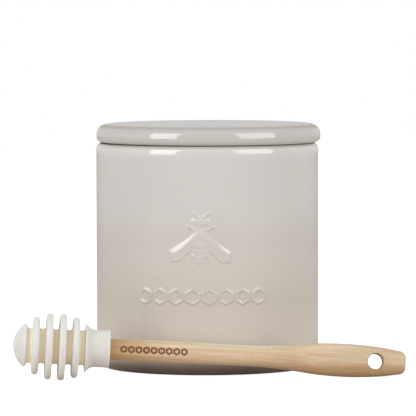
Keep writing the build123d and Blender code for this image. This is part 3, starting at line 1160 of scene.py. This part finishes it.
# --- Dipper ---------------------------------------------------------------------------------------
@dataclass
class DipperHead:
    """Moulded head: ball nose, fins on a core, flared collar and the blind socket."""

    place: Place
    core: float = 7.6
    nose_radius: float = 11.8
    nose_edge: float = 9.65
    nose_undercut: float = 0.9
    nose_gap: float = 4.75
    fin_radii: tuple[float, ...] = (12.6, 14.3, 14.4, 13.2)
    fin_pitch: float = 5.8
    fin_root: float = 3.2
    fin_tip: float = 2.95
    tip_rounding: float = 1.3
    groove_rounding: float = 0.9
    flare_gap: float = 4.22
    flare_radius: float = 10.7
    flare_length: float = 4.6
    flare_lap: float = 0.4              # how far behind its edge the flare's curve starts
    flare_drop: float = 0.12            # and how much lower
    flare_power: float = 2.2
    collar_radius: float = 8.1
    collar_length: float = 6.1
    lip_rounding: float = 0.5
    socket_radius: float = 4.2
    socket_depth: float = 24.5
    socket_rounding: float = 0.3
    edge: float = 0.22                  # rounding of the nose's and the flare's sharp edges
    bead_start: float = 1.2             # of the thin bead behind the collar's lip, and where it is highest
    bead_top: float = 0.75
    bead_height: float = 0.14
    overlap: float = 0.02               # by which one form starts inside the one before it
    nose_lap: float = 0.05              # how far before its edge the nose's rounding starts
    sides: int = 240

    def fin_places(self) -> list[float]:
        """Middles of the fins.

        Returns:
            Their places along the dipper, from the nose on.
        """
        last = self.flare_at() - self.flare_gap
        count = len(self.fin_radii)
        return [last - self.fin_pitch * (count - 1 - i) for i in range(count)]

    def flare_at(self) -> float:
        """Place of the collar's sharp flared edge."""
        return -(self.collar_length + self.flare_length)

    def fin(self, place: float, radius: float) -> Array:
        """One fin's outline: concave root, slightly tapered side, rounded tip, and the same down again.

        Args:
            place: Its middle, along the dipper.
            radius: Its radius.

        Returns:
            Points (along, radius).
        """
        root, tip = self.fin_root / 2.0, self.fin_tip / 2.0
        g, t = self.groove_rounding, self.tip_rounding
        up = joined(
            arc((place - root - g, self.core + g), (g, g), (270.0, 360.0), 6),
            straight((place - root, self.core + g), (place - tip, radius - t), 6),
            arc((place - tip + t, radius - t), (t, t), (180.0, 90.0), 8),
        )
        down = up[::-1].copy()
        down[:, 0] = 2.0 * place - down[:, 0]
        return joined(up, down)

    def profile(self) -> Array:
        """Half outline of the head.

        Returns:
            Points (along, radius), from the nose over the fins and the collar into the socket.
        """
        fins = self.fin_places()
        nose_at = fins[0] - self.nose_gap
        rise = degrees(np.arcsin(self.nose_edge / self.nose_radius))
        nose_centre = nose_at + self.nose_radius * cos(radians(rise))
        collar, radius = -self.collar_length, self.collar_radius
        g, lip, edge, soft = self.groove_rounding, self.lip_rounding, self.edge, self.socket_rounding
        core, socket, bead = self.core + g, self.socket_radius, self.bead_start - self.bead_top
        flare = self.flare_at() - self.overlap
        undercut = nose_at + self.nose_undercut
        return joined(
            arc((nose_centre, 0.0), (self.nose_radius, self.nose_radius), (180.0, 181.0 - rise), 26),
            arc((nose_at - self.nose_lap, self.nose_edge - edge), (edge, edge), (120.0, 0.0), 5),
            straight((nose_at + edge, self.nose_edge - edge), (undercut, core), 3),
            arc((undercut + g, core), (g, g), (180.0, 270.0), 5),
            *(self.fin(at, fin_radius) for at, fin_radius in zip(fins, self.fin_radii)),
            arc((flare - g, core), (g, g), (270.0, 360.0), 6),
            straight((flare, core), (flare, self.flare_radius - edge), 3),
            arc((flare + edge, self.flare_radius - edge), (edge, edge), (180.0, 50.0), 5),
            self.flare_curve(self.flare_at() + self.flare_lap, collar),
            straight((collar, radius), (-self.bead_start, radius), 5),
            arc((-self.bead_top, radius - self.overlap), (bead, self.bead_height + self.overlap),
                (180.0, 90.0), 3),
            arc((-lip, radius - lip + self.bead_height), (lip, lip), (90.0, 0.0), 6),
            straight((0.0, radius - lip), (0.0, socket + soft), 3),
            arc((-soft, socket + soft), (soft, soft), (0.0, -90.0), 3),
            straight((-soft, socket), (-self.socket_depth, socket), 8),
            straight((-self.socket_depth, socket), (-self.socket_depth, 0.0), 3),
        )

    def flare_curve(self, start: float, end: float) -> Array:
        """Concave run from the flared edge to the collar: the radius falls as a power of 1 - t.

        Args:
            start: Place of its first point, along the dipper.
            end: Place of its last.

        Returns:
            Points (along, radius).
        """
        t = np.linspace(0.0, 1.0, 15)
        fall = (self.flare_radius - self.flare_drop - self.collar_radius) * (1.0 - t) ** self.flare_power
        return np.stack([start + t * (end - start), self.collar_radius + fall], axis=1)

    def build(self) -> None:
        """Makes the head and dresses it."""
        fins = self.fin_places()
        # grooves that get the silicone's painted warm light
        tinted = (fins[0] - self.fin_pitch / 2.0, self.flare_at() - 0.4)
        silicone = Silicone("silicone", self.place, self.core, tinted, fins[0] - self.nose_gap)
        skin = turned(self.profile(), full_turn(self.sides), self.place)
        dress("dipper_head", skin, silicone.material(), Body.HEAD, 42.0)


def through(stations: Array, at: Array) -> Array:
    """Smooth cubic through stations, whose slope at each is the mean of those beside it.

    Args:
        stations: Rows of (place, value), in order.
        at: Places where the value is wanted.

    Returns:
        The values there.
    """
    x, y = stations[:, 0], stations[:, 1]
    slopes = np.diff(y) / np.diff(x)
    tangents = np.concatenate([slopes[:1], (slopes[1:] + slopes[:-1]) / 2.0, slopes[-1:]])
    i = np.clip(np.searchsorted(x, at, side="right") - 1, 0, len(x) - 2)
    span = x[i + 1] - x[i]
    t = np.clip((at - x[i]) / span, 0.0, 1.0)
    return ((2 * t**3 - 3 * t**2 + 1) * y[i] + (t**3 - 2 * t**2 + t) * span * tangents[i]
            + (3 * t**2 - 2 * t**3) * y[i + 1] + (t**3 - t**2) * span * tangents[i + 1])


def edge_of(rows: slice, columns: slice) -> tuple[Array, Array]:
    """Way round the edge of a part of a grid.

    Args:
        rows: Its rows of faces.
        columns: Its columns of faces.

    Returns:
        Row numbers and column numbers of the points on the edge, in order.
    """
    down = np.arange(rows.start, rows.stop)
    over = np.arange(columns.start, columns.stop)
    first_row, last_row = (np.full(len(over), row) for row in (rows.start, rows.stop))
    first_column, last_column = (np.full(len(down), column) for column in (columns.start, columns.stop))
    return (np.concatenate([first_row, down, last_row, down[::-1] + 1]),
            np.concatenate([over, last_column, over[::-1] + 1, first_column]))


@dataclass
class DipperHandle:
    """Turned handle: tenon, round neck, and a paddle with scooped flats and a hanging hole."""

    place: Place
    length: float = 129.95
    tenon_radius: float = 4.15
    tenon_length: float = 24.0
    tenon_chamfer: float = 0.5
    # (distance from the far end, half height, half depth) of the oval sections
    sections: tuple[tuple[float, float, float], ...] = (
        (129.95, 4.45, 4.45), (105.95, 4.75, 4.75), (72.5, 4.55, 4.55), (61.5, 4.75, 4.7), (50.5, 5.6, 4.85),
        (39.5, 6.85, 4.95), (28.5, 7.26, 4.9), (19.5, 7.05, 4.7), (10.5, 6.3, 4.45), (0.0, 4.75, 4.1))
    # (distance from the far end, half thickness) of the flats scooped into the front and back
    flats: tuple[Point, ...] = (
        (129.95, 9.0), (69.5, 9.0), (57.5, 5.6), (49.5, 4.9), (41.5, 4.15), (32.5, 3.8), (17.5, 3.6),
        (0.0, 3.3))
    end_rounding: float = 2.3
    crease: float = 0.35            # width over which a flat rounds into the oval
    hole_radius: float = 3.4
    hole_inset: float = 13.5
    hole_edge: float = 0.35
    hole_steps: int = 5             # rings on the flat round the hole, and again over its edge
    patch_reach: float = 5.1        # half length of the part of the grid that is laid anew round the hole
    patch_share: float = 0.72       # its half height, as a share of the handle's
    around: int = 192
    paddle_at: float = 60.0         # where the rings get closer
    neck_step: float = 1.5
    paddle_step: float = 0.5
    end_length: float = 2.5         # of the rounded end, with rings of its own
    end_rings: int = 16
    cap_shares: tuple[float, float, int] = (1.0, 0.15, 7)     # first, last and count of the flat end's rings

    def section(self, at: Array) -> tuple[Array, Array, Array]:
        """Size of the section: the oval's half height and half depth, and the flats' half thickness.

        Towards the far end each loses r - sqrt(r^2 - d^2), with d the way into the end's rounding r.

        Args:
            at: Distances along the handle.

        Returns:
            Those three, there.
        """
        table = np.array(self.sections) * [-1.0, 1.0, 1.0] + [self.length, 0.0, 0.0]
        flats = np.array(self.flats) * [-1.0, 1.0] + [self.length, 0.0]
        into = np.clip(at - (self.length - self.end_rounding), 0.0, self.end_rounding)
        inset = self.end_rounding - np.sqrt(self.end_rounding**2 - into**2)
        height, depth = (through(table[:, [0, column]], at) - inset for column in (1, 2))
        return height, depth, through(flats, at) - inset

    def thickness(self, ratio: Array, depth: Array, flat: Array) -> Array:
        """Half thickness of the handle: the oval's, rounded off by the flat.

        The smaller of p = depth sqrt(1 - ratio^2) and the flat, less w^2 c / 4 with w the share of the
        crease's width c by which they are closer than it.

        Args:
            ratio: Height above the middle, as a share of the half height.
            depth: The oval's half depth.
            flat: The flats' half thickness.

        Returns:
            Half thicknesses.
        """
        oval = depth * np.sqrt(np.clip(1.0 - ratio**2, 0.0, 1.0))
        close = np.clip(self.crease - np.abs(oval - flat), 0.0, None) / self.crease
        return np.minimum(oval, flat) - close**2 * self.crease / 4.0

    def rows(self) -> Array:
        """Sections of the handle's rings, from the tenon's end to the far end.

        Returns:
            Place, half height, half depth and half thickness of the flats, each one row.
        """
        r, n, c = self.tenon_radius, self.tenon_length, self.tenon_chamfer
        tenon = joined(straight((-n, r - c), (-n + c, r), 2), straight((-n + c, r), (0.0, r), 8))
        end = self.length - self.end_length
        neck = np.concatenate([np.arange(0.0, self.paddle_at, self.neck_step),
                               np.arange(self.paddle_at, end, self.paddle_step),
                               np.linspace(end, self.length, self.end_rings)])
        body = np.stack([neck, *self.section(neck)])
        caps = np.linspace(*self.cap_shares)[1:]
        cap = body[:, -1:] * np.stack([np.ones(len(caps)), caps, caps, caps])
        unscooped = np.full(len(tenon), self.flats[0][1])
        return np.concatenate([[tenon[:, 0], tenon[:, 1], tenon[:, 1], unscooped], body, cap], axis=1)

    def rings(self) -> Array:
        """Rings round the handle: (place, -thickness, height cos t), with t from 0 to a full turn.

        Returns:
            Points in the handle's own axes, shaped (rings, around, 3).
        """
        place, height, depth, flat = self.rows()[..., None]
        angle = full_turn(self.around)
        ratio = np.cos(angle)[None, :]
        side = np.sign(np.round(np.sin(angle), ROUND_TO))
        front = side * self.thickness(ratio, depth, flat)
        return np.stack([np.broadcast_to(place, front.shape), -front, height * ratio], axis=-1)

    def patch(self, along: Array) -> tuple[slice, slice]:
        """Part of the grid of rings, in front, that is laid anew round the hole.

        Args:
            along: Place of each ring along the handle.

        Returns:
            Its rows and its columns of faces.
        """
        hole_at = self.length - self.hole_inset
        rows = (int(np.argmin(np.abs(along - hole_at - side * self.patch_reach))) for side in (-1, 1))
        half = int(np.arcsin(self.patch_share) / (2.0 * pi) * self.around)
        quarter = self.around // 4
        return slice(*rows), slice(quarter - half, quarter + half)

    def tunnel(self, loop: Array) -> Array:
        """Rings from a loop of the front face, over the hole's rounded edge, to the same loop of the back.

        Each ring keeps the loop's directions from the hole's axis. Its distance goes evenly to the hole's
        edge, then r + e (1 - sin q) with a drop of e (1 - cos q) for q from 0 to 90 degrees.

        Args:
            loop: Points (along, up) of the grid round the hole.

        Returns:
            Points in the handle's own axes, shaped (rings, round the hole, 3).
        """
        centre = np.array([self.length - self.hole_inset, 0.0])
        distance = np.linalg.norm(loop - centre, axis=1)
        direction = (loop - centre) / distance[:, None]
        edge, r, steps = self.hole_edge, self.hole_radius, self.hole_steps
        share = np.linspace(0.0, 1.0, steps + 1)[1:, None]
        bend = share * pi / 2.0
        bent = np.broadcast_to(r + edge * (1.0 - np.sin(bend)), (steps, len(loop)))
        reach = np.concatenate([distance + (r + edge - distance) * share, bent])
        drop = np.concatenate([np.zeros((steps, 1)), edge * (1.0 - np.cos(bend))])
        along, up = np.moveaxis(centre + reach[..., None] * direction, -1, 0)
        height, depth, flat = self.section(along)
        front = np.stack([along, drop - self.thickness(up / height, depth, flat), up], axis=-1)
        back = front * [1.0, -1.0, 1.0]
        inside = [front[-1] * [1.0, share, 1.0] for share in (0.5, 0.0, -0.5)]
        return np.concatenate([front, inside, back[::-1]])

    def skin(self) -> Skin:
        """The handle's surface: its rings, without the faces at the hole's ends, and a tunnel between them.

        Returns:
            The closed surface, with its faces outwards.
        """
        rings = self.rings()
        shell = closed_rings(rings, rings[[0, -1], 0] * [1.0, 0.0, 0.0])
        numbers = np.arange(rings[..., 0].size).reshape(rings.shape[:2])
        rows, columns = self.patch(rings[:, 0, 0])
        keep = np.ones(ring_quads(numbers).shape[:2], bool)
        keep[rows, columns] = False
        keep[rows, self.around - columns.stop:self.around - columns.start] = False
        edge_rows, edge_columns = edge_of(rows, columns)
        tunnel = self.tunnel(rings[edge_rows, edge_columns][:, [0, 2]])
        inner = len(shell.points) + np.arange(tunnel[..., 0].size).reshape(tunnel.shape[:2])
        front, back = (numbers[edge_rows, side * edge_columns][None] for side in (1, -1))
        tube = ring_quads(np.concatenate([front, inner, back])).reshape(-1, 4)
        points = np.concatenate([shell.points, tunnel.reshape(-1, 3)])
        quads = np.concatenate([ring_quads(numbers)[keep], tube])
        return Skin(self.place.points(*points.T), quads, shell.triangles).outward()

    def build(self) -> None:
        """Makes the handle and dresses it."""
        beech = Beech("beech", self.place, self.length - self.hole_inset, self.hole_radius)
        dress("dipper_handle", self.skin(), beech.material(), Body.HANDLE)


def dipper_place(length: float, hole_inset: float) -> Place:
    """The dipper's own axes, from the head's pull axis and the hanging hole's place and axis in the record.

    Args:
        length: The handle's, from the collar to its far end, in millimetres.
        hole_inset: How far the hole's middle lies from that end.

    Returns:
        A place whose origin is the middle of the collar's open end.
    """
    pull = next(joint for joint in frame["joints"] if joint["name"] == "head_pull")
    hole = next(mount for mount in frame["record"]["mounts"] if mount["name"] == "hang_hole")
    along = -np.array(pull["axis"], float)
    along /= np.linalg.norm(along)
    across = -np.array(hole["axis"], float)
    across -= along * (across @ along)
    across /= np.linalg.norm(across)
    middle = np.array(hole["pos_m"], float) * TO_MM
    return Place(middle - (length - hole_inset) * along, along, across, np.cross(along, across))


# --- Studio ---------------------------------------------------------------------------------------
@dataclass(frozen=True)
class SoftBox:
    """Rectangular light that faces the pot."""

    name: str
    azimuth: float              # degrees round from the front, to the right where positive
    elevation: float            # degrees above the lid's height
    size: Point                 # width and height, in metres
    power: float                # watts
    distance: float = 1.3       # from the pot, in metres
    target: float = 0.1         # height that it faces, in metres

    def build(self) -> None:
        """Adds the light, unseen by the camera."""
        light = bpy.data.lights.new(self.name, "AREA")
        light.shape = "RECTANGLE"
        light.size, light.size_y = self.size
        light.energy = self.power
        lamp = bpy.data.objects.new(self.name, light)
        bpy.context.scene.collection.objects.link(lamp)
        turn, lift = radians(self.azimuth), radians(self.elevation)
        away = Vector((sin(turn) * cos(lift), -cos(turn) * cos(lift), sin(lift)))
        lamp.location = Vector((0.0, 0.0, self.target)) + away * self.distance
        lamp.rotation_euler = away.to_track_quat("Z", "Y").to_euler()
        lamp.visible_camera = False


@dataclass(frozen=True)
class Floor:
    """Wide round floor, with another colour far out in front. Its sizes are in millimetres."""

    name: str
    height: float
    near: Colour
    far: Colour
    glow: float                             # strength of its white emission
    radius: float = 2500.0
    sides: int = 96
    far_span: Point = (500.0, 1150.0)       # distances at which the far colour starts, and is full
    back_span: Point = (1400.0, -400.0)     # places along Y at which it starts, and is full

    def build(self) -> bpy.types.Object:
        """Adds the floor.

        Returns:
            Its object.
        """
        turn = full_turn(self.sides)
        radius, height = np.full((2, self.sides), [[self.radius], [self.height]])
        rim = STANDING.points(height, radius * np.cos(turn), radius * np.sin(turn))
        mesh = bpy.data.meshes.new(self.name)
        mesh.from_pydata((rim * MM).tolist(), [], [list(range(self.sides))])
        disc = bpy.data.objects.new(self.name, mesh)
        bpy.context.scene.collection.objects.link(disc)
        material, nodes = new_finish("pale_" + self.name)
        _, x, y = nodes.own_axes(STANDING)
        out = nodes.step((x * x + y * y).math("SQRT"), *self.far_span) * nodes.step(y, *self.back_span)
        nodes.principled({"Base Color": nodes.mix(out, self.near, self.far), "Roughness": 0.7,
                          "Specular IOR Level": 0.0, "Emission Color": WHITE,
                          "Emission Strength": self.glow})
        mesh.materials.append(material)
        return disc


@dataclass(frozen=True)
class Room:
    """White background, which is a dimmer room to every ray but the camera's.

    The room is dim in front, with light walls left and right, a grey wall behind between two white screens,
    a ceiling, and a table below. Its spans are parts of a ray's direction: x to the right, y back and z up.
    """

    front: float = 0.50                     # brightness of each part
    left: float = 0.98
    right: float = 0.45
    behind: float = 0.58
    screens: float = 0.78
    ceiling: float = 0.56
    table: Colour = (0.35, 0.30, 0.26)
    across_span: Point = (-0.3, 0.3)        # x, from the left wall's brightness to the right one's
    side_span: Point = (0.6, 0.9)           # size of x, from the front to a side wall
    screen_span: Point = (0.12, 0.40)       # size of x, from the wall behind to a screen
    back_span: Point = (-0.05, 0.25)        # y, from what is in front to what is behind
    ceiling_span: Point = (0.3, 0.8)        # z, from the walls to the ceiling
    table_span: Point = (-0.10, 0.02)       # z, from the table to the walls

    def build(self) -> None:
        """Sets the world up."""
        world = bpy.data.worlds.new("studio")
        bpy.context.scene.world = world
        world.use_nodes = True
        nodes = Nodes(world.node_tree)
        seen = nodes.add("LightPath", None, None, "Is Camera Ray")
        x, y, z = nodes.split(nodes.add("TexCoord", None, None, "Generated"))
        side = self.left + nodes.step(x, *self.across_span) * (self.right - self.left)
        front = nodes.step(abs(x), *self.side_span) * (side - self.front) + self.front
        back = nodes.step(abs(x), *self.screen_span) * (self.screens - self.behind) + self.behind
        walls = nodes.step(y, *self.back_span) * (back - front) + front
        room = nodes.step(z, *self.ceiling_span) * (self.ceiling - walls) + walls
        above = nodes.step(z, *self.table_span)
        colour = nodes.mix(above, self.table, WHITE)
        level = above * room + (1.0 - above)
        nodes.close("OutputWorld", nodes.add("Background", None, {
            "Color": nodes.mix(seen, colour, WHITE), "Strength": level * (1.0 - seen) + seen}))


@dataclass(frozen=True)
class Studio:
    """Camera, surroundings, soft boxes, and two floors.

    The camera sees the pale floor, and nothing else does. The table just under it throws light back.
    """

    distance: float = 1800.0            # of the camera in front of the pot's axis, in millimetres
    eye_height: float = 166.9
    eye_offset: float = 0.31
    look_down: float = 0.053            # radians
    roll: float = -0.003
    focal_pixels: float = 3995.6        # focal length, in pixels of a picture 416 pixels wide
    picture_width: float = 416.0
    sensor: float = 36.0
    near_clip: float = 0.05             # metres
    far_clip: float = 20.0
    room: Room = Room()
    floor: Floor = Floor("floor", 0.0, (0.80, 0.80, 0.80), (0.80, 0.80, 0.80), 0.75)
    table: Floor = Floor("table", -0.1, (0.74, 0.675, 0.62), (0.24, 0.22, 0.20), 0.0)
    boxes: tuple[SoftBox, ...] = (
        SoftBox("soft_box_left", -46.5, 18.0, (0.69, 0.92), 7.0),
        SoftBox("soft_box_right", 51.5, 18.5, (0.97, 0.92), 7.6),
    )

    def camera(self) -> None:
        """Adds the camera."""
        data = bpy.data.cameras.new("camera")
        data.sensor_width = self.sensor
        data.lens = self.focal_pixels * self.sensor / self.picture_width
        data.clip_start, data.clip_end = self.near_clip, self.far_clip
        eye = bpy.data.objects.new("camera", data)
        bpy.context.scene.collection.objects.link(eye)
        place = Vector((self.eye_offset, -self.distance, self.eye_height)) * MM
        tilt = Matrix.Rotation(pi / 2.0 - self.look_down, 4, "X")
        eye.matrix_world = Matrix.Translation(place) @ tilt @ Matrix.Rotation(self.roll, 4, "Z")
        bpy.context.scene.camera = eye

    def build(self) -> None:
        """Sets up the whole studio."""
        bpy.context.scene.view_settings.view_transform = "Standard"
        self.camera()
        self.room.build()
        seen = self.floor.build()
        seen.visible_diffuse = seen.visible_glossy = seen.visible_shadow = False
        self.table.build().visible_camera = False
        for box in self.boxes:
            box.build()


def main() -> None:
    """Builds every piece in order, then the studio."""
    logging.basicConfig(level=logging.INFO, format="%(name)s: %(message)s")
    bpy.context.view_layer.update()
    pot_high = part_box("pot_body")[1]
    lid_low, lid_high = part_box("lid")
    pot = Pot(radius=pot_high.x * TO_MM, rim=pot_high.z * TO_MM)
    pot.build()
    Lid(radius=(lid_high.x - lid_low.x) / 2.0 * TO_MM, middle=(lid_high.x + lid_low.x) / 2.0 * TO_MM,
        seat=pot.rim, top=lid_high.z * TO_MM, flange_end=lid_low.z * TO_MM).build()
    handle = DipperHandle(place=STANDING)
    handle.place = dipper_place(handle.length, handle.hole_inset)
    DipperHead(place=handle.place).build()
    handle.build()
    Studio().build()


if __name__ == "__main__":
    main()
